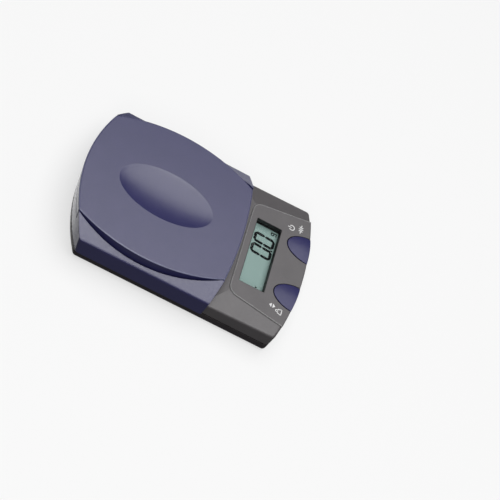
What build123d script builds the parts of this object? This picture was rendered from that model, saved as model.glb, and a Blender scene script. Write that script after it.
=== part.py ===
from build123d import *
import os
from math import atan2, cos, degrees, hypot, radians, sin, sqrt, tan

# A hand-held balance. Millimetres, +Z up, +Y towards the rear, display at -Y.
# The origin is the middle of the footprint, on the plane the feet stand on.

os.makedirs("parts", exist_ok=True)

# Outline of the body, seen from above
body_length = 115.0
side_width = 80.0
display_width = 77.4
rear_radius = 81.0
front_radius = 145.0
divide_y = -22.3
divide_radius = 190.0
corner_radius = 2.0

# Heights above the table
foot_height = 0.8
seam_z = 5.6
seam_groove = 0.6
slope_top_z = 14.15
panel_z = 14.6
side_shoulder_z = 14.9
deck_z = 15.0
platform_top_z = 20.8

# Walls of the three housing pieces
wall = 1.8
floor_wall = 1.8
deck_wall = 1.4
rib = 1.2
rear_draft = 10.0
cheek_width = 10.7
display_slope = 10.0
housing_joint = 0.15
lip_wall = 1.0
lip_height = 1.5
lip_gap = 0.15
bottom_round = 1.6
shoulder_round = 1.2
front_edge_round = 0.5
cable_gate_width = 12.0
cable_gate_height = 3.0

# Weighing platform
platform_mid_width = 75.2
platform_side_radius = 77.1
platform_mid_y = 17.5
platform_wall = 1.5
platform_side_gap = 0.5
platform_skirt_gap = 0.6
platform_travel = 0.4
platform_round = 0.6
platform_corner = 1.0
dish_width = 26.8
dish_length = 47.0
dish_depth = 2.2
dish_ball_lift = 3.0

# Panel with the display window
panel_rear_y = -25.0
panel_rear_width = 54.0
panel_front_width = 65.0
panel_corner = 4.5
panel_rear_slope = 13.0
window_width = 38.7
window_depth = 13.1
window_y = -34.55
window_corner = 0.4

# Push buttons
button_x = 14.8
button_width = 14.2
button_tip_y = -45.3
button_gap = 0.45
button_travel = 0.8
button_crown = 0.8
button_wall = 1.2
button_skirt_z = 9.6
button_under_gap = 0.1
button_flange = 0.9
button_rest_gap = 0.05
plunger_radius = 2.0

# Display stack, from the top down
display_window_wall = 0.95
frame_border = 2.6
frame_gap = 0.15
glass_margin = 1.3
glass_wall = 2.2
glass_drop = 3.8
glass_step = 1.2
board_wall = 1.2
board_top_z = 6.2
board_width = 60.0
board_rear_y = -25.0
board_front_y = -51.0
post_radius = 2.2
post_x = 27.0
post_span = 20.0
strip_width = 1.4
switch_size = 4.5
switch_height = 2.0
switch_stem_radius = 1.2
switch_y = -48.5
chip_size = 9.0
chip_height = 1.6
chip_y = -47.5

# Load cell and what it carries
cell_width = 12.0
cell_height = 8.0
cell_length = 43.0
cell_rear_y = 23.4
cell_pad_height = 1.2
cell_bore_radius = 2.8
cell_bore_span = 9.0
cell_slot = 1.4
cell_screw_span = 6.0
cell_end_margin = 3.5
cell_screw_radius = 1.5
cell_screw_head_radius = 2.6
cell_screw_head = 1.3
cell_screw_grip = 5.0
gauge_wall = 0.3
gauge_length = 6.0
gauge_width = 7.0
carrier_wall = 1.2
carrier_arm_width = 7.0
carrier_drop = 4.0
hub_width = 10.0
hub_length = 12.0
pad_span_x = 44.0
pad_span_y = 40.0
pad_radius = 3.2
pad_wall = 1.0
peg_radius = 1.2
peg_gap = 0.08
peg_deck_gap = 0.9
deck_opening_gap = 1.6

# Batteries, two of the 10.5 x 44.5 mm size
battery_radius = 5.25
battery_length = 44.5
battery_nub_radius = 1.9
battery_nub = 1.0
battery_pitch = 11.0
battery_mid_y = 36.5
battery_lift = 0.35
bay_gap = 0.5
bay_wall_z = 9.6
contact_wall = 0.4
contact_room = 2.4
contact_width = 8.0
contact_height = 7.0
leaf_height = 4.0
leaf_gap = 0.15
door_gap = 0.3
door_tab_x = 14.0
door_tab_width = 8.0
door_tab_reach = 2.4
door_tab_wall = 0.8
door_tab_gap = 0.1
latch_width = 12.0
latch_length = 6.0
latch_slit = 0.8
latch_bump = 0.2
grip_depth = 0.5
grip_pitch = 1.4

# Screws and feet
screw_radius = 1.0
screw_head_radius = 1.9
screw_head = 1.3
screw_sink = 0.4
screw_length = 8.0
screw_gap = 0.08
boss_radius = 2.6
boss_joint_z = 7.4
boss_x = 33.4
boss_ys = [-33.0, -8.0, 25.0]
foot_radius = 4.0
foot_seat = 0.6
foot_round = 0.3
foot_x = 31.5
foot_front_y = -45.0
foot_rear_y = 37.0
stop_screw_radius = 1.5
stop_socket = 1.3

# Places that follow from the sizes above
rear_y = body_length / 2
front_y = -body_length / 2
far = body_length
side_half = side_width / 2
display_half = display_width / 2
floor_top_z = foot_height + floor_wall
base_top_z = seam_z - seam_groove / 2
upper_low_z = seam_z + seam_groove / 2
deck_low_z = deck_z - deck_wall
panel_low_z = slope_top_z - wall
window_low_z = panel_low_z - display_window_wall
glass_top_z = panel_z - glass_drop
glass_low_z = glass_top_z - glass_wall
board_low_z = board_top_z - board_wall
board_y = (board_rear_y + board_front_y) / 2
skirt_low_z = deck_z + platform_skirt_gap
plate_low_z = platform_top_z - platform_wall
cell_low_z = floor_top_z + cell_pad_height
cell_top_z = cell_low_z + cell_height
cell_front_y = cell_rear_y - cell_length
cell_y = cell_rear_y - cell_length / 2
cell_screws_y = cell_front_y + cell_end_margin + cell_screw_span / 2
hub_y = cell_rear_y - cell_end_margin - cell_screw_span / 2
carrier_top_z = platform_top_z - carrier_drop
carrier_low_z = carrier_top_z - carrier_wall
pad_top_z = carrier_top_z + pad_wall
battery_z = floor_top_z + battery_lift + battery_radius
bay_half = battery_length / 2 + contact_room
bay_depth = battery_pitch + 2 * battery_radius + 2 * bay_gap
bay_front_y = battery_mid_y - bay_depth / 2
bay_rear_y = battery_mid_y + bay_depth / 2
door_depth = bay_depth - 2 * door_gap
base_wall = wall + lip_gap + lip_wall
button_reach = button_tip_y - front_y
notch_low_z = button_skirt_z - button_travel - button_under_gap
lip_top_z = upper_low_z + lip_height
lip_inset = wall + lip_gap
flange_z = panel_low_z - button_rest_gap - button_flange
plunger_low_z = board_top_z + switch_height + button_travel + button_rest_gap


def sagitta(radius, half):
    """How far an arc bulges over a chord; a negative radius bulges the other way."""
    depth = abs(radius) - sqrt(radius**2 - half**2)
    return depth if radius > 0 else -depth


def rear_at(z):
    """Y of the rear wall's middle at a height: the wall leans in towards the bottom."""
    return rear_y - (platform_top_z - z) * tan(radians(rear_draft))


def raised(face, height):
    """Solid standing straight up on a flat outline."""
    with BuildPart() as block:
        extrude(face, amount=height, dir=(0, 0, 1))
    return block.part


def plan_face(z, half, back, front, back_bend, front_bend, back_corner=0.0, front_corner=0.0):
    """Outline seen from above: straight sides with an arc at the rear and at the front."""
    back_end = back - sagitta(back_bend, half)
    front_end = front + sagitta(front_bend, half)
    with BuildSketch(Plane.XY.offset(z)) as outline:
        with BuildLine():
            ThreePointArc((half, back_end), (0, back), (-half, back_end))
            Line((-half, back_end), (-half, front_end))
            ThreePointArc((-half, front_end), (0, front), (half, front_end))
            Line((half, front_end), (half, back_end))
        make_face()
        if back_corner > 0:
            fillet(outline.vertices().group_by(Axis.Y)[-1], back_corner)
        if front_corner > 0:
            fillet(outline.vertices().group_by(Axis.Y)[0], front_corner)
    return outline.sketch


def leaning_form(half, inset, low_z, high_z, front, front_bend, back_corner=0.0, front_corner=0.0):
    """Solid whose rear follows the leaning rear wall, set in from it by inset."""
    low = plan_face(low_z, half, rear_at(low_z) - inset, front,
                    rear_radius, front_bend, back_corner, front_corner)
    high = plan_face(high_z, half, rear_at(high_z) - inset, front,
                     rear_radius, front_bend, back_corner, front_corner)
    with BuildPart() as form:
        loft(sections=[low, high])
    return form.part


def ring_form(outer, inner, low_z, high_z):
    """Upright ring that follows the base's outline, between two insets from it."""
    with BuildPart() as ring:
        add(leaning_form(display_half - outer, outer, low_z, high_z, front_y + outer, front_radius))
        add(leaning_form(display_half - inner, inner, low_z, high_z, front_y + inner, front_radius),
            mode=Mode.SUBTRACT)
    return ring.part


def bowed_face(z, grow):
    """Lens between the platform's two bowed sides, wider on each side by grow."""
    side_centre = platform_mid_width / 2 - platform_side_radius
    with BuildSketch(Plane.XY.offset(z)) as outline:
        with Locations((side_centre, platform_mid_y)):
            Circle(platform_side_radius + grow)
        with Locations((-side_centre, platform_mid_y)):
            Circle(platform_side_radius + grow, mode=Mode.INTERSECT)
    return outline.sketch


def ball(half_x, half_y, half_z, centre, seam):
    """Sphere stretched to three half sizes, its seam on top (1) or underneath (-1)."""
    frame = Plane((0, 0, 0), x_dir=(0, 0, seam), z_dir=(0, 1, 0))
    sphere = Solid.make_sphere(1.0, plane=frame, angle1=-90, angle2=90, angle3=360)
    return scale(sphere, by=(half_x, half_y, half_z), mode=Mode.PRIVATE).moved(Location(centre))


def side_section(inset):
    """Front view of the side housing: upright walls, then cheeks rising to the platform."""
    slope = (platform_top_z - side_shoulder_z) / cheek_width
    tilt = sqrt(1 + slope**2)
    half = side_half - inset
    edge_z = side_shoulder_z + (slope - tilt) * inset
    crest_x = side_half - cheek_width
    crest_z = platform_top_z - tilt * inset
    with BuildSketch(Plane.XZ) as section:
        with BuildLine():
            Polyline(
                (-half, 0),
                (-half, edge_z),
                (-crest_x, crest_z),
                (crest_x, crest_z),
                (half, edge_z),
                (half, 0),
                close=True,
            )
        make_face()
        if inset == 0:
            fillet(section.vertices().group_by(Axis.Y)[1], shoulder_round)
    return section.sketch


def side_cavity():
    """Room in the side housing: under the deck, and up into the cheeks beside the well."""
    with BuildPart() as cavity:
        add(leaning_form(side_half - wall, wall, floor_top_z, platform_top_z,
                         divide_y + wall, divide_radius))
        extrude(side_section(wall), amount=far, both=True, mode=Mode.INTERSECT)
        add(raised(bowed_face(deck_low_z, platform_side_gap + wall), far), mode=Mode.SUBTRACT)
    return cavity.part


def panel_half_at(y):
    """Half width of the raised panel, which widens evenly towards the front."""
    share = (panel_rear_y - y) / (panel_rear_y - front_y)
    return (panel_rear_width + (panel_front_width - panel_rear_width) * share) / 2


def slope_planes(inset):
    """Planes of the two sloping sides, which run along the panel's edges, lowered by inset."""
    widen = (panel_front_width - panel_rear_width) / 2
    lean = atan2(widen, panel_rear_y - front_y)
    fall = tan(radians(display_slope))
    planes = []
    for side in (-1, 1):
        edge = (side * panel_rear_width / 2, panel_rear_y, slope_top_z - inset)
        planes.append(Plane(edge, z_dir=(side * fall * cos(lean), fall * sin(lean), 1)))
    return planes


def sloped_form(inset):
    """Block of the display housing with its two sloping sides and a flat top between them."""
    high_z = slope_top_z - inset
    with BuildPart() as form:
        add(raised(display_plan(upper_low_z - inset, inset), high_z - upper_low_z + inset))
        for plane in slope_planes(inset):
            split(bisect_by=plane, keep=Keep.BOTTOM)
    return form.part


def panel_face(z):
    """Outline of the raised panel, running past the front edge."""
    past_y = front_y - wall
    rear_half = panel_half_at(panel_rear_y)
    past_half = panel_half_at(past_y)
    with BuildSketch(Plane.XY.offset(z)) as outline:
        with BuildLine():
            Polyline(
                (-rear_half, panel_rear_y),
                (-past_half, past_y),
                (past_half, past_y),
                (rear_half, panel_rear_y),
                close=True,
            )
        make_face()
        fillet(outline.vertices().group_by(Axis.Y)[-1], panel_corner)
    return outline.sketch


def display_plan(z, inset):
    """Outline of the display housing, hollow at the rear where the side housing starts."""
    corner = corner_radius if inset == 0 else 0.0
    return plan_face(z, display_half - inset, divide_y - housing_joint - inset, front_y + inset,
                     -divide_radius, front_radius, 0.0, corner)


def button_face(x, z, grow):
    """Outline of a button: an ellipse about the front edge, grown on all sides."""
    with BuildSketch(Plane.XY.offset(z)) as outline:
        with Locations((x, front_y)):
            Ellipse(button_width / 2 + grow, button_reach + grow)
    return outline.sketch


def button_hollow(x):
    """Room inside a button, open at the bottom."""
    with BuildPart() as hollow:
        add(raised(button_face(x, button_skirt_z, -button_wall),
                   panel_z - button_wall - button_skirt_z))
        add(raised(display_plan(button_skirt_z, button_wall), far), mode=Mode.INTERSECT)
    return hollow.part


def button_rim(x):
    """Flange that holds a button under the panel."""
    with BuildPart() as rim:
        add(raised(button_face(x, flange_z, button_gap + button_flange), button_flange))
        add(raised(display_plan(flange_z, wall + button_gap), far), mode=Mode.INTERSECT)
    return rim.part


def button_form(x):
    """Push button at one place across the front, with its flange and plunger."""
    crown_z = panel_z + button_crown
    crown_ball_z = crown_z - button_skirt_z
    crown_y = front_y + button_reach / 3
    with BuildPart() as cap:
        add(raised(button_face(x, button_skirt_z, 0.0), crown_ball_z))
        add(ball(button_width, button_reach * 4 / 3, crown_ball_z, (x, crown_y, button_skirt_z), -1),
            mode=Mode.INTERSECT)
        add(raised(display_plan(button_skirt_z, 0.0), far), mode=Mode.INTERSECT)
        add(button_rim(x))
        add(button_hollow(x), mode=Mode.SUBTRACT)
        add(columns([(x, switch_y)], plunger_radius, plunger_low_z, panel_z - button_wall / 2))
    return cap.part


def button_shield(x):
    """Low wall of the display housing that stands behind the gap under a button."""
    shield_inset = button_wall + button_gap
    with BuildPart() as shield:
        add(ring_form(shield_inset, shield_inset + rib, lip_top_z + lip_gap, button_skirt_z + rib))
        add(ring_form(wall / 2, shield_inset + rib, lip_top_z + lip_gap, notch_low_z))
        add(raised(button_face(x, 0, -shield_inset), far), mode=Mode.INTERSECT)
    return shield.part


def columns(places, radius, low_z, high_z):
    """Upright round posts, one at each place."""
    with BuildPart() as posts:
        with BuildSketch(Plane.XY.offset(low_z)):
            with Locations(*places):
                Circle(radius)
        extrude(amount=high_z - low_z)
    return posts.part


def blocks(places, size_x, size_y, low_z, high_z):
    """Upright rectangular blocks, one at each place."""
    with BuildPart() as bars:
        with BuildSketch(Plane.XY.offset(low_z)):
            with Locations(*places):
                Rectangle(size_x, size_y)
        extrude(amount=high_z - low_z)
    return bars.part


def screws(places, low_z, head, head_radius, shaft, radius, up):
    """Pan-head screws with a cross slot, heads at low_z, shafts running up or down."""
    way = 1 if up else -1
    slot_depth = head * 0.6
    slot_width = radius * 0.4
    with BuildPart() as pieces:
        for x, y in places:
            with Locations((x, y, low_z + way * head / 2)):
                Cylinder(head_radius, head)
            with Locations((x, y, low_z + way * (head + shaft / 2))):
                Cylinder(radius, shaft)
            with Locations((x, y, low_z + way * slot_depth / 2)):
                Box(head_radius, slot_width, slot_depth, mode=Mode.SUBTRACT)
                Box(slot_width, head_radius, slot_depth, mode=Mode.SUBTRACT)
    return pieces.part


boss_places = [(side * boss_x, y) for y in boss_ys for side in (-1, 1)]
front_boss_places = boss_places[:2]
rear_boss_places = boss_places[2:]
post_places = [(side * post_x, board_y + end * post_span / 2) for side in (-1, 1) for end in (-1, 1)]
cell_fixed_places = [(0, cell_screws_y + end * cell_screw_span / 2) for end in (-1, 1)]
cell_free_places = [(0, hub_y + end * cell_screw_span / 2) for end in (-1, 1)]
pad_places = [
    (side * pad_span_x / 2, platform_mid_y + end * pad_span_y / 2) for side in (-1, 1) for end in (-1, 1)
]
foot_places = [(side * foot_x, y) for side in (-1, 1) for y in (foot_front_y, foot_rear_y)]
tab_places = [(-door_tab_x, bay_front_y), (door_tab_x, bay_front_y)]
switch_places = [(-button_x, switch_y), (button_x, switch_y)]

# Base shell: the tray that everything stands in
screw_head_z = foot_height + screw_sink
with BuildPart() as base_shell:
    add(leaning_form(display_half, 0.0, foot_height, base_top_z, front_y, front_radius,
                     corner_radius, corner_radius))
    fillet(base_shell.edges().group_by(Axis.Z)[0], bottom_round)
    # lip that stands up behind the seam
    add(leaning_form(display_half - lip_inset, lip_inset, floor_top_z, lip_top_z,
                     front_y + lip_inset, front_radius))
    # inside of the tray
    add(leaning_form(display_half - base_wall, base_wall, floor_top_z, far,
                     front_y + base_wall, front_radius), mode=Mode.SUBTRACT)
    # pad under the fixed end of the load cell
    add(blocks([(0, cell_screws_y)], cell_width, 2 * cell_end_margin + cell_screw_span,
               foot_height, cell_low_z))
    # columns for the housing screws
    add(columns(boss_places, boss_radius, foot_height, boss_joint_z))
    # walls round the battery bay
    add(blocks([(0, battery_mid_y)], 2 * (bay_half + rib), bay_depth + 2 * rib,
               foot_height, bay_wall_z))
    add(blocks([(0, battery_mid_y)], 2 * bay_half, bay_depth, 0, far), mode=Mode.SUBTRACT)
    # slots for the tabs of the battery door, high enough for them to swing through
    add(blocks(tab_places, door_tab_width + 2 * door_gap, 4 * rib,
               floor_top_z, floor_top_z + 2 * door_tab_reach * 0.5), mode=Mode.SUBTRACT)
    # holes for the screws, the stop screw and the feet
    add(columns(boss_places, screw_radius + screw_gap, 0, far), mode=Mode.SUBTRACT)
    add(columns(boss_places, screw_head_radius + screw_gap, 0, screw_head_z + screw_head),
        mode=Mode.SUBTRACT)
    add(columns(cell_fixed_places, cell_screw_radius + screw_gap, foot_height + floor_wall / 3, far),
        mode=Mode.SUBTRACT)
    add(columns([(0, hub_y)], stop_screw_radius + screw_gap, 0, far), mode=Mode.SUBTRACT)
    add(columns(foot_places, foot_radius + screw_gap, 0, foot_height + foot_seat),
        mode=Mode.SUBTRACT)
base_shell.part.label = "base_shell"
export_step(base_shell.part, "parts/base_shell.step")

# Room that the housings leave for the lip of the base
lip_room = ring_form(wall, base_wall + lip_gap, floor_top_z, lip_top_z + lip_gap)

# Side housing: rear wall, side walls and the two sloping cheeks beside the platform
with BuildPart() as side_housing:
    add(leaning_form(side_half, 0.0, upper_low_z, platform_top_z, divide_y, divide_radius,
                     corner_radius, 0.0))
    extrude(side_section(0.0), amount=far, both=True, mode=Mode.INTERSECT)
    add(raised(bowed_face(deck_z, platform_side_gap), far), mode=Mode.SUBTRACT)
    add(side_cavity(), mode=Mode.SUBTRACT)
    add(lip_room, mode=Mode.SUBTRACT)
    # posts for the housing screws
    add(columns(rear_boss_places, boss_radius, boss_joint_z, deck_low_z + deck_wall / 2))
    add(columns(rear_boss_places, screw_radius + screw_gap, boss_joint_z, deck_low_z),
        mode=Mode.SUBTRACT)
    # opening in the deck for the hub of the carrier, and the gate for the cell's wires
    add(blocks([(0, hub_y)], hub_width + 2 * deck_opening_gap, hub_length + 2 * deck_opening_gap,
               0, far), mode=Mode.SUBTRACT)
    add(blocks([(0, divide_y)], cable_gate_width, 4 * wall, 0, upper_low_z + cable_gate_height),
        mode=Mode.SUBTRACT)
side_housing.part.label = "side_housing"
export_step(side_housing.part, "parts/side_housing.step")

# Raised panel of the display housing
with BuildPart() as raised_panel:
    add(raised(panel_face(panel_low_z), panel_z - panel_low_z))
    add(raised(display_plan(0, 0.0), far), mode=Mode.INTERSECT)

# Display housing: sloping sides, raised panel, window and notches for the buttons
with BuildPart() as display_housing:
    add(sloped_form(0.0))
    for face in display_housing.faces().filter_by(Axis.X).sort_by(Axis.X):
        fillet(face.edges().sort_by(Axis.Z)[-1], shoulder_round)
    # strip behind the panel, falling towards the side housing
    with BuildSketch(Plane.YZ):
        with BuildLine():
            fall = tan(radians(panel_rear_slope)) * -panel_rear_y
            Polyline(
                (panel_rear_y, slope_top_z),
                (0, slope_top_z - fall),
                (0, far),
                (panel_rear_y, far),
                close=True,
            )
        make_face()
    extrude(amount=far, both=True, mode=Mode.SUBTRACT)
    add(raised_panel.part)
    front_edge = display_housing.edges().group_by(Axis.Z)[-1].sort_by(Axis.Y)[0]
    fillet(front_edge, front_edge_round)
    add(sloped_form(wall), mode=Mode.SUBTRACT)
    add(lip_room, mode=Mode.SUBTRACT)
    # posts for the housing screws and the board
    add(columns(front_boss_places, boss_radius, boss_joint_z, panel_low_z - rib / 3))
    add(columns(front_boss_places, screw_radius + screw_gap, boss_joint_z,
                panel_low_z - rib), mode=Mode.SUBTRACT)
    add(columns(post_places, post_radius, board_top_z, panel_low_z))
    add(columns(post_places, screw_radius + screw_gap, board_top_z, panel_low_z),
        mode=Mode.SUBTRACT)
    # window, button notches and the gate for the cell's wires
    with BuildSketch(Plane.XY.offset(panel_low_z)):
        with Locations((0, window_y)):
            RectangleRounded(window_width, window_depth, window_corner)
    extrude(amount=far, mode=Mode.SUBTRACT)
    for x in (-button_x, button_x):
        add(raised(button_face(x, notch_low_z, button_gap), far), mode=Mode.SUBTRACT)
        add(button_shield(x))
    add(blocks([(0, divide_y)], cable_gate_width, 4 * wall, 0, upper_low_z + cable_gate_height),
        mode=Mode.SUBTRACT)
display_housing.part.label = "display_housing"
export_step(display_housing.part, "parts/display_housing.step")

# Room under the platform's plate
with BuildPart() as platform_room:
    add(leaning_form(side_half, platform_wall, skirt_low_z, plate_low_z,
                     divide_y + platform_wall, divide_radius))
    add(raised(bowed_face(skirt_low_z, -platform_wall), far), mode=Mode.INTERSECT)

# Underside of the dish: the lower part of a stretched ball
ball_depth = dish_ball_lift + dish_depth
spread = 1 / sqrt(1 - (dish_ball_lift / ball_depth)**2)
dish_x = dish_width / 2 * spread
dish_y = dish_length / 2 * spread
dish_centre = (0, platform_mid_y, platform_top_z + dish_ball_lift)
with BuildPart() as dish_shell:
    add(ball(dish_x + platform_wall, dish_y + platform_wall, ball_depth + platform_wall,
             dish_centre, 1))
    split(bisect_by=Plane.XY.offset(plate_low_z + platform_wall / 2), keep=Keep.BOTTOM)

# Weighing platform: a thin bowed cap with a shallow oval dish
with BuildPart() as weighing_platform:
    add(leaning_form(side_half, 0.0, skirt_low_z, platform_top_z, divide_y, divide_radius))
    add(raised(bowed_face(skirt_low_z, 0.0), far), mode=Mode.INTERSECT)
    heights = weighing_platform.edges().group_by(Axis.Z)
    fillet(heights[1] + heights[2], platform_corner)
    fillet(weighing_platform.edges().group_by(Axis.Z)[-1], platform_round)
    add(platform_room.part, mode=Mode.SUBTRACT)
    # dish: the shell under the plate, then the smaller ball out of the top
    add(dish_shell.part)
    add(ball(dish_x, dish_y, ball_depth, dish_centre, 1), mode=Mode.SUBTRACT)
    # seats and pegs over the rubber pads
    add(columns(pad_places, pad_radius, pad_top_z, plate_low_z + platform_wall / 2))
    add(columns(pad_places, peg_radius, deck_z + peg_deck_gap, pad_top_z))
weighing_platform.part.label = "weighing_platform"
export_step(weighing_platform.part, "parts/weighing_platform.step")

# Carrier: a metal cross on a hub that stands on the free end of the load cell
arm_angle = degrees(atan2(pad_span_y, pad_span_x))
arm_length = hypot(pad_span_x, pad_span_y)
with BuildPart() as platform_carrier:
    with BuildSketch(Plane.XY.offset(carrier_low_z)):
        with Locations((0, platform_mid_y)):
            SlotCenterToCenter(arm_length, carrier_arm_width, rotation=arm_angle)
            SlotCenterToCenter(arm_length, carrier_arm_width, rotation=-arm_angle)
        with Locations((0, hub_y)):
            Rectangle(hub_width, hub_length)
    extrude(amount=carrier_wall)
    add(blocks([(0, hub_y)], hub_width, hub_length, cell_top_z, carrier_low_z))
    add(columns(pad_places, peg_radius + peg_gap, 0, far), mode=Mode.SUBTRACT)
    add(columns(cell_free_places, cell_screw_radius + screw_gap, 0, far), mode=Mode.SUBTRACT)
    add(columns(cell_free_places, cell_screw_head_radius + screw_gap,
                carrier_top_z - cell_screw_head, far), mode=Mode.SUBTRACT)
platform_carrier.part.label = "platform_carrier"
export_step(platform_carrier.part, "parts/platform_carrier.step")

# Rubber pads between the carrier and the platform
with BuildPart() as platform_pads:
    add(columns(pad_places, pad_radius, carrier_top_z, pad_top_z))
    add(columns(pad_places, peg_radius + peg_gap, 0, far), mode=Mode.SUBTRACT)
platform_pads.part.label = "platform_pads"
export_step(platform_pads.part, "parts/platform_pads.step")

# Load cell: a bar with two joined bores that leave thin bending beams
with BuildPart() as load_cell:
    add(blocks([(0, cell_y)], cell_width, cell_length, cell_low_z, cell_top_z))
    with BuildSketch(Plane.YZ):
        cell_mid_z = (cell_low_z + cell_top_z) / 2
        with Locations((cell_y - cell_bore_span / 2, cell_mid_z),
                       (cell_y + cell_bore_span / 2, cell_mid_z)):
            Circle(cell_bore_radius)
        with Locations((cell_y, cell_mid_z)):
            Rectangle(cell_bore_span, cell_slot)
    extrude(amount=cell_width, both=True, mode=Mode.SUBTRACT)
    add(columns(cell_fixed_places + cell_free_places, cell_screw_radius + screw_gap, 0, far),
        mode=Mode.SUBTRACT)
load_cell.part.label = "load_cell"
export_step(load_cell.part, "parts/load_cell.step")

# Strain gauges over and under the thin beams
gauge_places = [(0, cell_y + end * cell_bore_span / 2) for end in (-1, 1)]
with BuildPart() as strain_gauges:
    add(blocks(gauge_places, gauge_width, gauge_length, cell_top_z, cell_top_z + gauge_wall))
    add(blocks(gauge_places, gauge_width, gauge_length, cell_low_z - gauge_wall, cell_low_z))
strain_gauges.part.label = "strain_gauges"
export_step(strain_gauges.part, "parts/strain_gauges.step")

# Screws of the load cell
with BuildPart() as load_cell_screws:
    add(screws(cell_fixed_places, cell_top_z + cell_screw_head, cell_screw_head,
               cell_screw_head_radius, cell_top_z - foot_height - floor_wall * 0.5,
               cell_screw_radius, False))
load_cell_screws.part.label = "load_cell_screws"
export_step(load_cell_screws.part, "parts/load_cell_screws.step")

with BuildPart() as carrier_screws:
    add(screws(cell_free_places, carrier_top_z, cell_screw_head, cell_screw_head_radius,
               carrier_top_z - cell_screw_head - cell_top_z + cell_screw_grip,
               cell_screw_radius, False))
carrier_screws.part.label = "carrier_screws"
export_step(carrier_screws.part, "parts/carrier_screws.step")

# Set screw in the floor that stops the cell when the platform is overloaded
with BuildPart() as overload_stop_screw:
    add(columns([(0, hub_y)], stop_screw_radius, foot_height + screw_sink,
                cell_low_z - platform_travel))
    with BuildSketch(Plane.XY.offset(foot_height + screw_sink)):
        with Locations((0, hub_y)):
            RegularPolygon(stop_socket / 2, 6)
    extrude(amount=stop_socket, mode=Mode.SUBTRACT)
overload_stop_screw.part.label = "overload_stop_screw"
export_step(overload_stop_screw.part, "parts/overload_stop_screw.step")

# Batteries, lying across the body, nubs to opposite sides
battery_ends = [(-1, battery_mid_y - battery_pitch / 2), (1, battery_mid_y + battery_pitch / 2)]
can_length = battery_length - battery_nub
with BuildPart() as batteries:
    for way, y in battery_ends:
        with Locations(Location((-way * battery_nub / 2, y, battery_z), (0, 90, 0))):
            Cylinder(battery_radius, can_length)
        with Locations(Location((way * (battery_length - battery_nub) / 2, y, battery_z),
                                (0, 90, 0))):
            Cylinder(battery_nub_radius, battery_nub)
batteries.part.label = "batteries"
export_step(batteries.part, "parts/batteries.step")

# Battery contacts: flat plates with a bent leaf for each battery end
leaf_reach = contact_room - contact_wall - leaf_gap
with BuildPart() as battery_contacts:
    for side in (-1, 1):
        plate_x = side * (bay_half - contact_wall)
        for way, y in battery_ends:
            with BuildSketch(Plane.XY.offset(battery_z - leaf_height / 2)):
                with BuildLine():
                    Polyline(
                        (plate_x + side * contact_wall, y - contact_width / 2),
                        (plate_x, y - contact_width / 2),
                        (plate_x - side * leaf_reach, y),
                        (plate_x, y + contact_width / 2),
                        (plate_x + side * contact_wall, y + contact_width / 2),
                        (plate_x, y + contact_width / 2 - contact_wall * 2),
                        (plate_x - side * (leaf_reach - contact_wall), y),
                        (plate_x, y - contact_width / 2 + contact_wall * 2),
                        close=True,
                    )
                make_face()
            extrude(amount=leaf_height)
    plate_low_y = battery_z - contact_height / 2
    plate_mid_x = bay_half - contact_wall / 2
    add(blocks([(plate_mid_x, y) for way, y in battery_ends], contact_wall, contact_width,
               plate_low_y, plate_low_y + contact_height))
    add(blocks([(-plate_mid_x, battery_mid_y)], contact_wall, battery_pitch + contact_width,
               plate_low_y, plate_low_y + contact_height))
battery_contacts.part.label = "battery_contacts"
export_step(battery_contacts.part, "parts/battery_contacts.step")

# Battery door: a flat cover with two tabs at its front and a springy tongue at its rear
door_tab_z = floor_top_z + door_tab_gap
with BuildPart() as battery_door:
    add(blocks([(0, battery_mid_y)], 2 * (bay_half - door_gap), door_depth,
               foot_height, floor_top_z))
    tab_back = bay_front_y + door_gap + rib
    tab_front = bay_front_y - door_tab_reach
    tab_mid = (tab_back + tab_front) / 2
    add(blocks([(-door_tab_x, tab_mid), (door_tab_x, tab_mid)], door_tab_width,
               tab_back - tab_front, door_tab_z, door_tab_z + door_tab_wall))
    foot_mid = tab_back - rib / 2
    add(blocks([(-door_tab_x, foot_mid), (door_tab_x, foot_mid)], door_tab_width, rib,
               foot_height, door_tab_z))
    # slits that free the tongue, and its bump
    door_rear_y = bay_rear_y - door_gap
    slit_x = (latch_width + latch_slit) / 2
    add(blocks([(-slit_x, door_rear_y), (slit_x, door_rear_y)], latch_slit, 2 * latch_length,
               0, far), mode=Mode.SUBTRACT)
    add(blocks([(0, door_rear_y)], latch_width / 2, 2 * latch_bump,
               foot_height + latch_bump, foot_height + 3 * latch_bump))
    # grip grooves on the tongue
    grip_places = [(0, door_rear_y - latch_length + (n + 1) * grip_pitch) for n in range(3)]
    add(blocks(grip_places, latch_width * 0.7, grip_pitch / 2, 0, foot_height + grip_depth),
        mode=Mode.SUBTRACT)
battery_door.part.label = "battery_door"
export_step(battery_door.part, "parts/battery_door.step")

# Clear window under the panel
with BuildPart() as display_window:
    with BuildSketch(Plane.XY.offset(window_low_z)):
        with Locations((0, window_y)):
            RectangleRounded(window_width + 2 * glass_margin, window_depth + 2 * glass_margin,
                             window_corner)
    extrude(amount=display_window_wall)
display_window.part.label = "display_window"
export_step(display_window.part, "parts/display_window.step")

# Black frame that holds the display glass over the board
frame_places = [(0, window_y)]
glass_width = window_width + 2 * glass_margin
glass_depth = window_depth + 2 * glass_margin
with BuildPart() as display_frame:
    add(blocks(frame_places, window_width + 2 * frame_border, window_depth + 2 * frame_border,
               board_top_z, window_low_z))
    add(blocks(frame_places, glass_width + 2 * frame_gap, glass_depth + 2 * frame_gap,
               0, glass_top_z), mode=Mode.SUBTRACT)
    add(blocks(frame_places, window_width, window_depth, 0, far), mode=Mode.SUBTRACT)
display_frame.part.label = "display_frame"
export_step(display_frame.part, "parts/display_frame.step")

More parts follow.
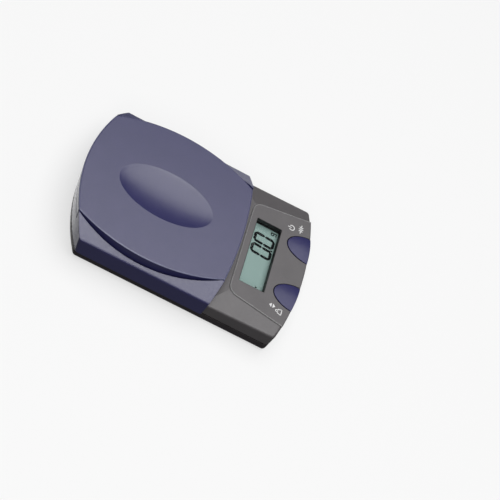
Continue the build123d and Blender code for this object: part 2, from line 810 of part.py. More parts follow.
# Display glass: two sheets, the lower one standing out at the front for its contacts
glass_mid_z = (glass_top_z + glass_low_z) / 2
with BuildPart() as display_glass:
    add(blocks(frame_places, glass_width, glass_depth, glass_low_z, glass_mid_z))
    add(blocks([(0, window_y + glass_step / 2)], glass_width, glass_depth - glass_step,
               glass_mid_z, glass_top_z))
display_glass.part.label = "display_glass"
export_step(display_glass.part, "parts/display_glass.step")

# Rubber contact strips between the board and the glass
strip_offset = glass_depth / 2 - strip_width
strip_places = [(0, window_y - strip_offset), (0, window_y + strip_offset)]
with BuildPart() as contact_strips:
    add(blocks(strip_places, window_width, strip_width, board_top_z, glass_low_z))
contact_strips.part.label = "contact_strips"
export_step(contact_strips.part, "parts/contact_strips.step")

# Board, its chips, switches and screws
with BuildPart() as main_board:
    add(blocks([(0, board_y)], board_width, board_rear_y - board_front_y,
               board_low_z, board_top_z))
    add(columns(post_places, screw_radius + screw_gap, 0, far), mode=Mode.SUBTRACT)
main_board.part.label = "main_board"
export_step(main_board.part, "parts/main_board.step")

with BuildPart() as controller_chip:
    add(blocks([(0, chip_y)], chip_size / 2, chip_size / 2, board_top_z, board_top_z + chip_height))
controller_chip.part.label = "controller_chip"
export_step(controller_chip.part, "parts/controller_chip.step")

with BuildPart() as amplifier_chip:
    add(blocks([(0, window_y)], chip_size, chip_size / 2, board_low_z - chip_height, board_low_z))
amplifier_chip.part.label = "amplifier_chip"
export_step(amplifier_chip.part, "parts/amplifier_chip.step")

with BuildPart() as key_switches:
    add(blocks(switch_places, switch_size, switch_size, board_top_z,
               board_top_z + switch_height * 0.75))
    add(columns(switch_places, switch_stem_radius, board_top_z, board_top_z + switch_height))
key_switches.part.label = "key_switches"
export_step(key_switches.part, "parts/key_switches.step")

with BuildPart() as board_screws:
    add(screws(post_places, board_low_z - screw_head, screw_head, screw_head_radius,
               board_wall + screw_length / 2, screw_radius, True))
board_screws.part.label = "board_screws"
export_step(board_screws.part, "parts/board_screws.step")

# Push buttons
with BuildPart() as power_button:
    add(button_form(-button_x))
    mirror(about=Plane.YZ, mode=Mode.REPLACE)
power_button.part.label = "power_button"
export_step(power_button.part, "parts/power_button.step")

with BuildPart() as unit_button:
    add(button_form(-button_x))
unit_button.part.label = "unit_button"
export_step(unit_button.part, "parts/unit_button.step")

# Screws that close the housing, from below
with BuildPart() as housing_screws:
    add(screws(boss_places, screw_head_z, screw_head, screw_head_radius, screw_length,
               screw_radius, True))
housing_screws.part.label = "housing_screws"
export_step(housing_screws.part, "parts/housing_screws.step")

# Rubber feet
with BuildPart() as rubber_feet:
    add(columns(foot_places, foot_radius, 0, foot_height + foot_seat))
    fillet(rubber_feet.edges().group_by(Axis.Z)[0], foot_round)
rubber_feet.part.label = "rubber_feet"
export_step(rubber_feet.part, "parts/rubber_feet.step")
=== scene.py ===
"""Looks of a hand-held balance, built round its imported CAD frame.

Sizes in the classes are in millimetres and are turned into metres where a mesh is made. The
studio's sizes are in metres. Colours are linear.
"""

import logging
import math
from collections.abc import Iterator, Sequence
from dataclasses import dataclass
from enum import Enum

import bmesh
import bpy
from mathutils import Matrix, Vector


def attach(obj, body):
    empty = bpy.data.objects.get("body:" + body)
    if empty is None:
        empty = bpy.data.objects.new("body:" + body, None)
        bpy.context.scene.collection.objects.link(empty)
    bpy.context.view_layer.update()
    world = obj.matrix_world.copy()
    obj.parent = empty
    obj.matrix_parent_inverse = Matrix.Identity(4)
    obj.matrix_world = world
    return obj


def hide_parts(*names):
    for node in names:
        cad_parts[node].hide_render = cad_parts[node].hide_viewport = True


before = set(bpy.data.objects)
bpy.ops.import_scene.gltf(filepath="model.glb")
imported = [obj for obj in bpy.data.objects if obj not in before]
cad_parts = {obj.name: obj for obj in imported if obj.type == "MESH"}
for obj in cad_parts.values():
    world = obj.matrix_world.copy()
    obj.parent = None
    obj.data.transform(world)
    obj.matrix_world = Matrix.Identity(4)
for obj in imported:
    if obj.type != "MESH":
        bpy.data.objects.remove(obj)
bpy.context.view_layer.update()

LOG = logging.getLogger("balance")
Colour = tuple[float, float, float]
Place = tuple[float, float, float]
Spot = tuple[float, float]
Span = tuple[float, float]
Material = bpy.types.Material
Mesh = bpy.types.Mesh
Object = bpy.types.Object
Socket = bpy.types.NodeSocket

MM = 0.001  # a millimetre in metres
MERGE_MM = 0.001  # corners nearer than this become one
ARC_STEPS = 40  # straight steps in a printed arc
EDGE_SAMPLES = 6  # rays that the shader softens an edge with
NOISE_RANGE: Span = (0.3, 0.7)  # where most of a noise lies
WHITE: Colour = (1.0, 1.0, 1.0)
DEEP_BLUE: Colour = (0.02, 0.02, 0.094)
DEEP_BLUE_WORN: Colour = (0.024, 0.023, 0.102)
DARK_GREY: Colour = (0.082, 0.076, 0.08)
DARK_GREY_WORN: Colour = (0.094, 0.087, 0.091)


class Body(Enum):
    """Rigid bodies that the scene's own pieces ride on."""

    HOUSING = "housing"


class Nodes:
    """A node tree and short ways to fill it."""

    def __init__(self, tree: bpy.types.NodeTree) -> None:
        """Takes up a tree."""
        self.tree = tree

    def fill(self, node: bpy.types.Node, sockets: dict[str | int, object]) -> None:
        """Sets or links inputs of a node.

        Args:
            node: whose inputs they are.
            sockets: a value or a node's output for each input, by its name or number.
        """
        for key, value in sockets.items():
            end = node.inputs[key]
            if isinstance(value, bpy.types.NodeSocket):
                self.tree.links.new(value, end)
            elif end.type == "RGBA":
                end.default_value = (*value, 1.0)
            else:
                end.default_value = value

    def add(
        self, kind: str, sockets: dict[str | int, object] | None = None, **settings: object
    ) -> bpy.types.Node:
        """Adds a node.

        Args:
            kind: Blender's name of the node type.
            sockets: a value or a node's output for each input, by its name or number.
            settings: attributes to set on it.

        Returns:
            The new node.
        """
        node = self.tree.nodes.new(kind)
        for key, value in settings.items():
            setattr(node, key, value)
        self.fill(node, sockets or {})
        return node


class Graph(Nodes):
    """One material and the shader nodes in it."""

    def __init__(self, name: str) -> None:
        """Starts a material with a Principled shader.

        Args:
            name: name of the material.
        """
        self.material = bpy.data.materials.new(name)
        self.material.use_nodes = True
        super().__init__(self.material.node_tree)
        self.shader = self.tree.nodes["Principled BSDF"]
        self.place = self.add("ShaderNodeTexCoord").outputs["Object"]

    def paint(self, sockets: dict[str | int, object]) -> None:
        """Sets or links inputs of the shader."""
        self.fill(self.shader, sockets)

    def noise(
        self, size_mm: float, detail: float = 2.0, stretch: Place = (1.0, 1.0, 1.0)
    ) -> Socket:
        """Adds a noise whose patches are about one size.

        Args:
            size_mm: width of a patch.
            detail: octaves of finer noise in it.
            stretch: factor on each axis before the noise is read.

        Returns:
            The noise's factor.
        """
        turn = self.add("ShaderNodeMapping", {"Vector": self.place, "Scale": stretch})
        noise = self.add("ShaderNodeTexNoise", {
            "Vector": turn.outputs["Vector"],
            "Scale": 1.0 / (size_mm * MM),
            "Detail": detail,
        })
        return noise.outputs["Fac"]

    def spread(self, factor: Socket, low: float = 0.0, high: float = 1.0) -> Socket:
        """Maps the middle of a noise to a range.

        Args:
            factor: noise to read.
            low: value for the darker patches.
            high: value for the lighter patches.

        Returns:
            The mapped value.
        """
        node = self.add("ShaderNodeMapRange", {
            "Value": factor,
            "From Min": NOISE_RANGE[0],
            "From Max": NOISE_RANGE[1],
            "To Min": low,
            "To Max": high,
        })
        return node.outputs["Result"]

    def mix(self, factor: Socket, first: Colour | Socket, second: Colour | Socket) -> Socket:
        """Mixes two colours by a factor.

        Args:
            factor: 0 for the first colour, 1 for the second.
            first: linear colour, or a socket that gives one.
            second: linear colour, or a socket that gives one.

        Returns:
            The mixed colour.
        """
        sockets = {"Factor": factor, "A": first, "B": second}
        node = self.add("ShaderNodeMix", sockets, data_type="RGBA")
        return node.outputs["Result"]

    def relief(self, height: Socket, depth_mm: float, edge_mm: float = 0.0) -> None:
        """Gives the shader softened edges and a fine relief.

        Args:
            height: what stands high.
            depth_mm: height of the relief.
            edge_mm: radius that edges are softened to, or 0.
        """
        bump = self.add("ShaderNodeBump", {
            "Height": height,
            "Distance": depth_mm * MM,
            "Strength": 1.0,
        })
        if edge_mm > 0:
            edge = self.add("ShaderNodeBevel", {"Radius": edge_mm * MM}, samples=EDGE_SAMPLES)
            self.fill(bump, {"Normal": edge.outputs["Normal"]})
        self.paint({"Normal": bump.outputs["Normal"]})


def dimmed(colour: Colour, share: float) -> Colour:
    """Returns a colour with each channel at a share of its level."""
    return tuple(channel * share for channel in colour)


@dataclass(frozen=True)
class Moulded:
    """Moulded plastic or rubber with a spark-eroded grain, and on request a painted highlight on
    its rounded rims.
    """

    name: str
    colour: Colour
    worn: Colour
    rough: float
    grain_mm: float = 0.35
    depth_mm: float = 0.014
    edge_mm: float = 0.3
    gloss: float = 0.5
    # lighter colour painted on the rounded rims as a highlight, or None
    rim_highlight: Colour | None = None
    rim_from_level: Span = (0.9, 0.8)
    rim_from_upright: Span = (0.2, 0.4)
    cloud_mm: float = 9.0
    cloud_detail: float = 4.0
    grain_detail: float = 3.0
    sheen_grains: float = 3.0
    sheen_swing: float = 0.05

    def rim_highlight_mask(self, graph: Graph) -> Socket:
        """Finds the rounded rims, which lean between upright and level, where the highlight is
        painted.

        A surface's normal rises by 1 where it is level and by 0 where it is upright. The mask
        comes in over a short range of that rise from each side.

        Args:
            graph: the material's nodes.

        Returns:
            1 on the rounded rims, where the highlight is painted, and 0 elsewhere.
        """
        normal = graph.add("ShaderNodeNewGeometry").outputs["Normal"]
        rise = graph.add("ShaderNodeSeparateXYZ", {"Vector": normal}).outputs["Z"]
        leans = []
        for start, end in (self.rim_from_level, self.rim_from_upright):
            sockets = {"Value": rise, "From Min": start, "From Max": end}
            leans.append(graph.add("ShaderNodeMapRange", sockets).outputs["Result"])
        both = graph.add("ShaderNodeMath", dict(enumerate(leans)), operation="MULTIPLY")
        return both.outputs["Value"]

    def make(self) -> Material:
        """Builds the material.

        Returns:
            The material.
        """
        graph = Graph(self.name)
        cloud = graph.spread(graph.noise(self.cloud_mm, self.cloud_detail))
        skin = graph.mix(cloud, self.colour, self.worn)
        if self.rim_highlight:
            # painted highlight: the lighter rim colour stands in for light caught by the rounded
            # rims
            skin = graph.mix(self.rim_highlight_mask(graph), skin, self.rim_highlight)
        sheen = graph.noise(self.grain_mm * self.sheen_grains)
        low, high = self.rough - self.sheen_swing, self.rough + self.sheen_swing
        graph.paint({
            "Base Color": skin,
            "Roughness": graph.spread(sheen, low, high),
            "Specular IOR Level": self.gloss,
        })
        graph.relief(graph.noise(self.grain_mm, self.grain_detail), self.depth_mm, self.edge_mm)
        return graph.material


@dataclass(frozen=True)
class Metal:
    """Bare, brushed or plated metal."""

    name: str
    colour: Colour
    rough: float
    brush: Place = (1.0, 1.0, 1.0)
    streak_mm: float = 0.6
    streak_detail: float = 3.0
    streak_share: float = 0.8
    rough_swing: float = 0.12
    depth_mm: float = 0.003
    edge_mm: float = 0.12

    def make(self) -> Material:
        """Builds the material.

        Returns:
            The material.
        """
        graph = Graph(self.name)
        tone = graph.spread(graph.noise(self.streak_mm, self.streak_detail, self.brush))
        graph.paint({
            "Metallic": 1.0,
            "Base Color": graph.mix(tone, self.colour, dimmed(self.colour, self.streak_share)),
            "Roughness": graph.spread(tone, self.rough, self.rough + self.rough_swing),
        })
        graph.relief(tone, self.depth_mm, self.edge_mm)
        return graph.material


@dataclass(frozen=True)
class Reflector:
    """Grey-green back of the display, seen through its glass."""

    name: str = "display_reflector"
    light: Colour = (0.3, 0.44, 0.41)
    dark: Colour = (0.265, 0.4, 0.37)
    rough: float = 0.55
    grain_mm: float = 0.25
    grain_detail: float = 1.0
    depth_mm: float = 0.002

    def make(self) -> Material:
        """Builds the material.

        Returns:
            The material.
        """
        graph = Graph(self.name)
        fine = graph.spread(graph.noise(self.grain_mm, self.grain_detail))
        graph.paint({
            "Base Color": graph.mix(fine, self.light, self.dark),
            "Roughness": self.rough,
        })
        graph.relief(fine, self.depth_mm)
        return graph.material


@dataclass(frozen=True)
class Clear:
    """Clear window plastic that lets the display through."""

    name: str = "clear_window"
    colour: Colour = (0.02, 0.022, 0.022)
    alpha: float = 0.06
    haze_mm: float = 4.0
    rough: Span = (0.03, 0.09)

    def make(self) -> Material:
        """Builds the material.

        Returns:
            The material.
        """
        graph = Graph(self.name)
        graph.paint({
            "Base Color": self.colour,
            "Alpha": self.alpha,
            "Roughness": graph.spread(graph.noise(self.haze_mm), *self.rough),
        })
        return graph.material


@dataclass(frozen=True)
class Ink:
    """Screen-printed or liquid-crystal ink, slightly uneven."""

    name: str
    colour: Colour
    rough: float = 0.5
    gloss: float = 0.4
    cover_mm: float = 0.4
    cover_detail: float = 3.0
    thin_share: float = 0.88
    depth_mm: float = 0.003

    def make(self) -> Material:
        """Builds the material.

        Returns:
            The material.
        """
        graph = Graph(self.name)
        cover = graph.spread(graph.noise(self.cover_mm, self.cover_detail))
        graph.paint({
            "Base Color": graph.mix(cover, self.colour, dimmed(self.colour, self.thin_share)),
            "Roughness": self.rough,
            "Specular IOR Level": self.gloss,
        })
        graph.relief(cover, self.depth_mm)
        return graph.material


@dataclass(frozen=True)
class Circuit:
    """Solder-masked board with fine tracks."""

    name: str = "circuit_board"
    mask: Colour = (0.01, 0.12, 0.05)
    mask_light: Colour = (0.012, 0.15, 0.06)
    track: Colour = (0.03, 0.26, 0.12)
    pattern_mm: float = 2.4
    track_share: float = 0.06
    rough: float = 0.35
    depth_mm: float = 0.01
    edge_mm: float = 0.1

    def make(self) -> Material:
        """Builds the material.

        Returns:
            The material.
        """
        graph = Graph(self.name)
        brick = graph.add("ShaderNodeTexBrick", {
            "Vector": graph.place,
            "Scale": 1.0 / (self.pattern_mm * MM),
            "Mortar Size": self.track_share,
            "Color1": self.mask,
            "Color2": self.mask_light,
            "Mortar": self.track,
        })
        graph.paint({"Base Color": brick.outputs["Color"], "Roughness": self.rough})
        graph.relief(brick.outputs["Fac"], self.depth_mm, self.edge_mm)
        return graph.material


class Finish(Enum):
    """Finishes of the balance, each with what its material is made from."""

    NAVY_PLASTIC = Moulded("navy_plastic", DEEP_BLUE, DEEP_BLUE_WORN, rough=0.33, gloss=0.95)
    # the platform's lighter rim colour is a painted highlight on its rounded rims
    PLATFORM_PLASTIC = Moulded(
        "platform_plastic", DEEP_BLUE, DEEP_BLUE_WORN, rough=0.33, gloss=0.95,
        rim_highlight=(0.2, 0.21, 0.32))
    BUTTON_PLASTIC = Moulded(
        "button_plastic", DEEP_BLUE, DEEP_BLUE_WORN, rough=0.33, grain_mm=0.5, depth_mm=0.004)
    CHARCOAL_PLASTIC = Moulded(
        "charcoal_plastic", DARK_GREY, DARK_GREY_WORN, rough=0.42, gloss=0.7)
    # lighter than the charcoal housing: painted highlight along the raised panel's edge
    PANEL_EDGE_HIGHLIGHT = Moulded(
        "panel_bead", (0.17, 0.166, 0.168), (0.19, 0.186, 0.188),
        rough=0.3, grain_mm=0.6, depth_mm=0.004, edge_mm=0.0)
    BASE_PLASTIC = Moulded(
        "base_plastic", (0.024, 0.019, 0.023), (0.03, 0.024, 0.028), rough=0.5)
    BLACK_PLASTIC = Moulded(
        "black_plastic", (0.008, 0.008, 0.009), (0.012, 0.012, 0.012), rough=0.5)
    FOOT_RUBBER = Moulded(
        "foot_rubber", (0.02, 0.02, 0.02), (0.03, 0.03, 0.03),
        rough=0.75, grain_mm=0.6, depth_mm=0.02)
    SILICONE = Moulded("silicone", (0.55, 0.2, 0.22), (0.62, 0.26, 0.26), rough=0.55)
    BATTERY_SLEEVE = Moulded(
        "battery_sleeve", (0.05, 0.055, 0.06), (0.07, 0.075, 0.08),
        rough=0.3, grain_mm=0.8, depth_mm=0.003)
    GAUGE_FOIL = Moulded(
        "gauge_foil", (0.4, 0.2, 0.03), (0.5, 0.26, 0.05),
        rough=0.35, grain_mm=0.3, depth_mm=0.005)
    CHIP_EPOXY = Moulded(
        "chip_epoxy", (0.012, 0.012, 0.012), (0.02, 0.02, 0.02), rough=0.6, grain_mm=0.2)
    STEEL = Metal("zinc_plated_steel", (0.55, 0.56, 0.58), rough=0.3)
    NICKEL = Metal("nickel_plate", (0.65, 0.63, 0.58), rough=0.25)
    ALUMINIUM = Metal("brushed_aluminium", (0.74, 0.75, 0.77), rough=0.32, brush=(8.0, 0.3, 8.0))
    CIRCUIT_BOARD = Circuit()
    DISPLAY_REFLECTOR = Reflector()
    CLEAR_WINDOW = Clear()
    WHITE_PRINT = Ink("white_print", (0.78, 0.78, 0.78))
    DISPLAY_CRYSTAL = Ink("display_crystal", (0.006, 0.008, 0.009), rough=0.6, gloss=0.0)


Materials = dict[Finish, Material]

NODE_FINISHES: dict[str, Finish] = {
    "base_shell": Finish.BASE_PLASTIC,
    "side_housing": Finish.NAVY_PLASTIC,
    "display_housing": Finish.CHARCOAL_PLASTIC,
    "weighing_platform": Finish.PLATFORM_PLASTIC,
    "platform_carrier": Finish.ALUMINIUM,
    "platform_pads": Finish.SILICONE,
    "load_cell": Finish.ALUMINIUM,
    "strain_gauges": Finish.GAUGE_FOIL,
    "load_cell_screws": Finish.STEEL,
    "carrier_screws": Finish.STEEL,
    "overload_stop_screw": Finish.STEEL,
    "batteries": Finish.BATTERY_SLEEVE,
    "battery_contacts": Finish.NICKEL,
    "battery_door": Finish.BASE_PLASTIC,
    "display_window": Finish.CLEAR_WINDOW,
    "display_frame": Finish.BLACK_PLASTIC,
    "display_glass": Finish.DISPLAY_REFLECTOR,
    "contact_strips": Finish.SILICONE,
    "main_board": Finish.CIRCUIT_BOARD,
    "controller_chip": Finish.CHIP_EPOXY,
    "amplifier_chip": Finish.CHIP_EPOXY,
    "key_switches": Finish.BLACK_PLASTIC,
    "board_screws": Finish.STEEL,
    "power_button": Finish.BUTTON_PLASTIC,
    "unit_button": Finish.BUTTON_PLASTIC,
    "housing_screws": Finish.STEEL,
    "rubber_feet": Finish.FOOT_RUBBER,
}


def show(name: str, data: bpy.types.ID) -> Object:
    """Puts data in the scene as a new object.

    Args:
        name: name of the object.
        data: its mesh, curve, lamp or camera.

    Returns:
        The new object.
    """
    thing = bpy.data.objects.new(name, data)
    bpy.context.scene.collection.objects.link(thing)
    return thing


def stand(thing: Object, place: Place, axes: tuple[Vector, Vector, Vector]) -> None:
    """Puts an object at a place, with its own X, Y and Z along three directions."""
    turn = Matrix(axes).transposed()
    thing.matrix_world = Matrix.Translation(place) @ turn.to_4x4()


def plain_mesh(holder: Object) -> Mesh:
    """Keeps an object's finished shape as a plain mesh and removes the object.

    Args:
        holder: object with a curve, or with a mesh and its modifiers.

    Returns:
        The mesh.
    """
    shown = holder.evaluated_get(bpy.context.evaluated_depsgraph_get())
    mesh = bpy.data.meshes.new_from_object(shown)
    bpy.data.objects.remove(holder)
    return mesh


def closed_mesh(name: str, form: bmesh.types.BMesh) -> Mesh:
    """Turns a closed form's faces outwards and keeps it as a mesh.

    Args:
        name: name of the mesh.
        form: what was built, which is freed.

    Returns:
        The mesh.
    """
    bmesh.ops.recalc_face_normals(form, faces=form.faces)
    mesh = bpy.data.meshes.new(name)
    form.to_mesh(mesh)
    form.free()
    return mesh


def new_piece(name: str, mesh: Mesh, finish: Material, body: Body) -> Object:
    """Puts a mesh in the scene on a body.

    Args:
        name: name of the piece.
        mesh: its mesh, in metres, in place.
        finish: its material.
        body: body that it rides on.

    Returns:
        The new object.
    """
    mesh.materials.clear()
    mesh.materials.append(finish)
    piece = show(name, mesh)
    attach(piece, body.value)
    return piece


def in_turn(items: Sequence) -> Iterator[tuple]:
    """Pairs each item with the next one, and the last with the first."""
    return zip(items, [*items[1:], items[0]])


def along_and_across(start: Vector, end: Vector) -> tuple[Vector, Vector]:
    """Returns the direction from one point to another and the direction to its left."""
    along = (end - start).normalized()
    return along, Vector((-along.y, along.x))


class Sheet:
    """Flat outlines given a small thickness, gathered in one mesh."""

    def __init__(self, low_mm: float, high_mm: float) -> None:
        """Starts an empty sheet.

        Args:
            low_mm: height of its underside.
            high_mm: height of its top.
        """
        self.form = bmesh.new()
        self.low = low_mm
        self.high = high_mm

    def outline(self, points: Sequence[Vector | Spot]) -> None:
        """Adds a closed outline, in order round its edge.

        Args:
            points: X and Y of each corner.
        """
        new = self.form.verts.new
        low = [new((x * MM, y * MM, self.low * MM)) for x, y in points]
        high = [new((x * MM, y * MM, self.high * MM)) for x, y in points]
        self.form.faces.new(low)
        self.form.faces.new(high)
        for (low_a, high_a), (low_b, high_b) in in_turn(list(zip(low, high))):
            self.form.faces.new((low_a, low_b, high_b, high_a))

    def bar(self, start: Vector, end: Vector, width: float) -> None:
        """Adds a straight bar between the middles of its two ends."""
        side = along_and_across(start, end)[1] * width / 2
        self.outline([start + side, start - side, end - side, end + side])

    def bars(self, middle: Vector, lines: Sequence[tuple[Spot, Spot]], width: float) -> None:
        """Adds straight bars whose two ends are measured from one place."""
        for start, end in lines:
            self.bar(middle + Vector(start), middle + Vector(end), width)

    def ring(
        self, middle: Vector, radius: float, width: float, start: float = 0.0, turn: float = 360.0
    ) -> None:
        """Adds an arc of constant width, or a whole ring.

        Args:
            middle: its centre.
            radius: radius of its middle line.
            width: its width.
            start: angle where it starts, in degrees from +X.
            turn: angle that it goes round.
        """
        inner, outer = radius - width / 2, radius + width / 2
        angles = [math.radians(start + turn * n / ARC_STEPS) for n in range(ARC_STEPS + 1)]
        for a, b in zip(angles, angles[1:]):
            corners = ((a, inner), (a, outer), (b, outer), (b, inner))
            self.outline([
                (middle.x + reach * math.cos(angle), middle.y + reach * math.sin(angle))
                for angle, reach in corners])

    def finish(self, name: str) -> Mesh:
        """Returns the sheet as a mesh, closed and with its faces outwards."""
        bmesh.ops.remove_doubles(self.form, verts=self.form.verts, dist=MERGE_MM * MM)
        return closed_mesh(name, self.form)


@dataclass
class Display:
    """Digits and signs of the liquid-crystal display."""

    glass_top: float = 10.8
    ink: float = 0.05
    digit_low_y: float = -40.0
    digit_height: float = 9.6
    digit_width: float = 4.6
    digit_lefts: Span = (2.3, 9.0)
    stroke: float = 1.45
    slant: float = 0.07
    gap: float = -0.05
    point_gap: float = 1.2
    point_size: float = 0.9
    gram_x: float = 17.4
    gram_rise: float = 1.7
    gram_radius: float = 0.7
    gram_stroke: float = 0.5
    gram_stem: tuple[Spot, Spot] = ((0.85, 1.0), (0.85, -2.1))
    gram_hook: tuple[Spot, Spot] = ((1.1, -1.9), (-0.7, -1.9))
    pointer: tuple[Spot, Spot, Spot] = ((-16.4, -37.4), (-15.0, -37.4), (-15.7, -38.4))

    def place(self, left: float, x: float, y: float) -> Vector:
        """Returns the place of a leaning digit's point, from shares of its width and height."""
        rise = y * self.digit_height
        return Vector((left + x * self.digit_width + rise * self.slant, self.digit_low_y + rise))

    def segment(self, sheet: Sheet, start: Vector, end: Vector) -> None:
        """Adds one segment with pointed ends.

        Args:
            sheet: where it is drawn.
            start: corner of the digit where it starts.
            end: corner of the digit where it ends.
        """
        along, left = along_and_across(start, end)
        side = left * self.stroke / 2
        start = start + along * self.gap
        end = end - along * self.gap
        point = along * (self.stroke / 2)
        sheet.outline([
            start, start + point - side, end - point - side,
            end, end - point + side, start + point + side])

    def zero(self, sheet: Sheet, left: float) -> None:
        """Adds the six lit segments of a nought.

        Args:
            sheet: where it is drawn.
            left: X of the digit's left edge at its foot.
        """
        corners = ((0, 0), (0, 0.5), (0, 1), (1, 1), (1, 0.5), (1, 0))
        for start, end in in_turn([self.place(left, x, y) for x, y in corners]):
            self.segment(sheet, start, end)

    def build(self, materials: Materials) -> list[Object]:
        """Makes the display's lit marks.

        Args:
            materials: the material of each finish.

        Returns:
            The new pieces.
        """
        sheet = Sheet(self.glass_top, self.glass_top + self.ink)
        for left in self.digit_lefts:
            self.zero(sheet, left)
        half = self.point_size / 2
        point = Vector((self.digit_lefts[1] - self.point_gap, self.digit_low_y))
        sheet.bars(point, [((-half, 0), (half, 0))], self.point_size)
        gram = Vector((self.gram_x, self.digit_low_y + self.gram_rise))
        sheet.ring(gram, self.gram_radius, self.gram_stroke)
        sheet.bars(gram, [self.gram_stem, self.gram_hook], self.gram_stroke)
        sheet.outline(self.pointer)
        mesh = sheet.finish("display_digits")
        crystal = materials[Finish.DISPLAY_CRYSTAL]
        return [new_piece("display_digits", mesh, crystal, Body.HOUSING)]


@dataclass
class PanelHighlightBead:
    """Rounded bead along the sides and the rear edge of the raised panel, lighter than the housing
    grey: a painted highlight along the panel's edge.
    """

    panel_top: float = 14.6
    rear_y: float = -25.0
    rear_half: float = 27.0
    front_y: float = -53.7
    front_half: float = 31.85
    corner: float = 4.5
    corner_steps: int = 12
    bead: float = 0.42
    bead_resolution: int = 6
    sunk_share: float = 0.85

    def path(self) -> list[Spot]:
        """Follows the panel's edge from its front end on +X to the one on -X.

        Returns:
            X and Y of each point.
        """
        side = Vector((self.rear_half - self.front_half, self.rear_y - self.front_y)).normalized()
        lean = math.atan2(-side.x, side.y)
        sweep = math.pi / 2 - lean
        reach = self.corner * math.tan(sweep / 2)
        middle = Vector((self.rear_half - reach, self.rear_y - self.corner))
        half = [(self.front_half, self.front_y)]
        for n in range(self.corner_steps + 1):
            angle = lean + sweep * n / self.corner_steps
            half.append((middle.x + self.corner * math.cos(angle),
                         middle.y + self.corner * math.sin(angle)))
        return half + [(-x, y) for x, y in reversed(half)]

    def build(self, materials: Materials) -> list[Object]:
        """Lays the bead.

        Args:
            materials: the material of each finish.

        Returns:
            The new pieces.
        """
        curve = bpy.data.curves.new("panel_bead", "CURVE")
        curve.dimensions = "3D"
        curve.bevel_depth = self.bead * MM
        curve.bevel_resolution = self.bead_resolution
        curve.use_fill_caps = True
        points = self.path()
        line = curve.splines.new("POLY")
        line.points.add(len(points) - 1)
        height = self.panel_top - self.bead * self.sunk_share
        for spot, (x, y) in zip(line.points, points):
            spot.co = (x * MM, y * MM, height * MM, 1.0)
        mesh = plain_mesh(show("panel_bead_line", curve))
        # the bead's light grey is a painted highlight on the panel's edge
        return [new_piece("panel_bead", mesh, materials[Finish.PANEL_EDGE_HIGHLIGHT], Body.HOUSING)]


@dataclass
class WindowWallShade:
    """Thin black sheet on the four walls of the window opening: painted shade over the opening's
    grey walls.
    """

    low: float = 12.4
    high: float = 14.45
    half: float = 19.33
    rear_y: float = -28.02
    front_y: float = -41.08
    wall: float = 0.16
    corner: float = 0.4

    def build(self, materials: Materials) -> list[Object]:
        """Covers the opening's walls with the painted shade.

        Args:
            materials: the material of each finish.

        Returns:
            The new pieces.
        """
        sheet = Sheet(self.low, self.high)
        middle = self.wall / 2
        front, rear = self.front_y + self.corner, self.rear_y - self.corner
        for x in (-self.half + middle, self.half - middle):
            sheet.bar(Vector((x, front)), Vector((x, rear)), self.wall)
        left, right = -self.half + self.corner, self.half - self.corner
        for y in (self.front_y + middle, self.rear_y - middle):
            sheet.bar(Vector((left, y)), Vector((right, y)), self.wall)
        mesh = sheet.finish("window_liner")
        # black plastic on the opening's walls is painted shade
        return [new_piece("window_liner", mesh, materials[Finish.BLACK_PLASTIC], Body.HOUSING)]


@dataclass
class ButtonMarks:
    """Printed signs on the panel beside the two buttons."""

    panel_top: float = 14.6
    ink: float = 0.03
    line: float = 0.42
    power: Spot = (23.4, -45.3)
    power_radius: float = 1.35
    power_start: float = 130.0
    power_turn: float = 280.0
    power_stem: tuple[Spot, Spot] = ((0, 0.2), (0, 2.0))
    zero: Spot = (25.0, -49.9)
    zero_half: float = 1.2
    arrow_tip: float = 0.45
    arrow_tail: float = 2.5
    arrow_barb: float = 0.9
    unit: Spot = (-23.8, -46.4)
    unit_half: float = 1.2
    unit_low: float = 0.3
    unit_high: float = 1.6
    mass: Spot = (-25.3, -50.4)
    mass_corners: tuple[Spot, ...] = ((-1.5, -1.1), (1.5, -1.1), (1.0, 0.8), (-1.0, 0.8))
    eye_rise: float = 1.4
    eye_radius: float = 0.5
    eye_line: float = 0.35

    def power_signs(self, sheet: Sheet) -> None:
        """Draws the signs by the right button: on and off, and two arrows to a line for zero.

        Args:
            sheet: where they are drawn.
        """
        power = Vector(self.power)
        sheet.ring(power, self.power_radius, self.line, self.power_start, self.power_turn)
        sheet.bars(power, [self.power_stem], self.line)
        for way in (-1, 1):
            tip = (way * self.arrow_tip, 0)
            barb = way * (self.arrow_tip + self.arrow_barb)
            ends = ((way * self.arrow_tail, 0), (barb, self.arrow_barb), (barb, -self.arrow_barb))
            sheet.bars(Vector(self.zero), [(tip, end) for end in ends], self.line)
        sheet.bars(Vector(self.zero), [((0, -self.zero_half), (0, self.zero_half))], self.line)

    def unit_signs(self, sheet: Sheet) -> None:
        """Draws the signs by the left button: arrows up and down, and a mass with its eye.

        Args:
            sheet: where they are drawn.
        """
        unit, half = Vector(self.unit), self.unit_half
        for way in (1, -1):
            low, high = way * self.unit_low, way * self.unit_high
            sheet.outline([unit + Vector(spot) for spot in ((-half, low), (half, low), (0, high))])
        mass = Vector(self.mass)
        sheet.bars(mass, list(in_turn(self.mass_corners)), self.line)
        sheet.ring(mass + Vector((0, self.eye_rise)), self.eye_radius, self.eye_line)

    def build(self, materials: Materials) -> list[Object]:
        """Prints the signs.

        Args:
            materials: the material of each finish.

        Returns:
            The new pieces.
        """
        sheet = Sheet(self.panel_top - self.ink, self.panel_top + self.ink)
        self.power_signs(sheet)
        self.unit_signs(sheet)
        mesh = sheet.finish("button_marks")
        return [new_piece("button_marks", mesh, materials[Finish.WHITE_PRINT], Body.HOUSING)]


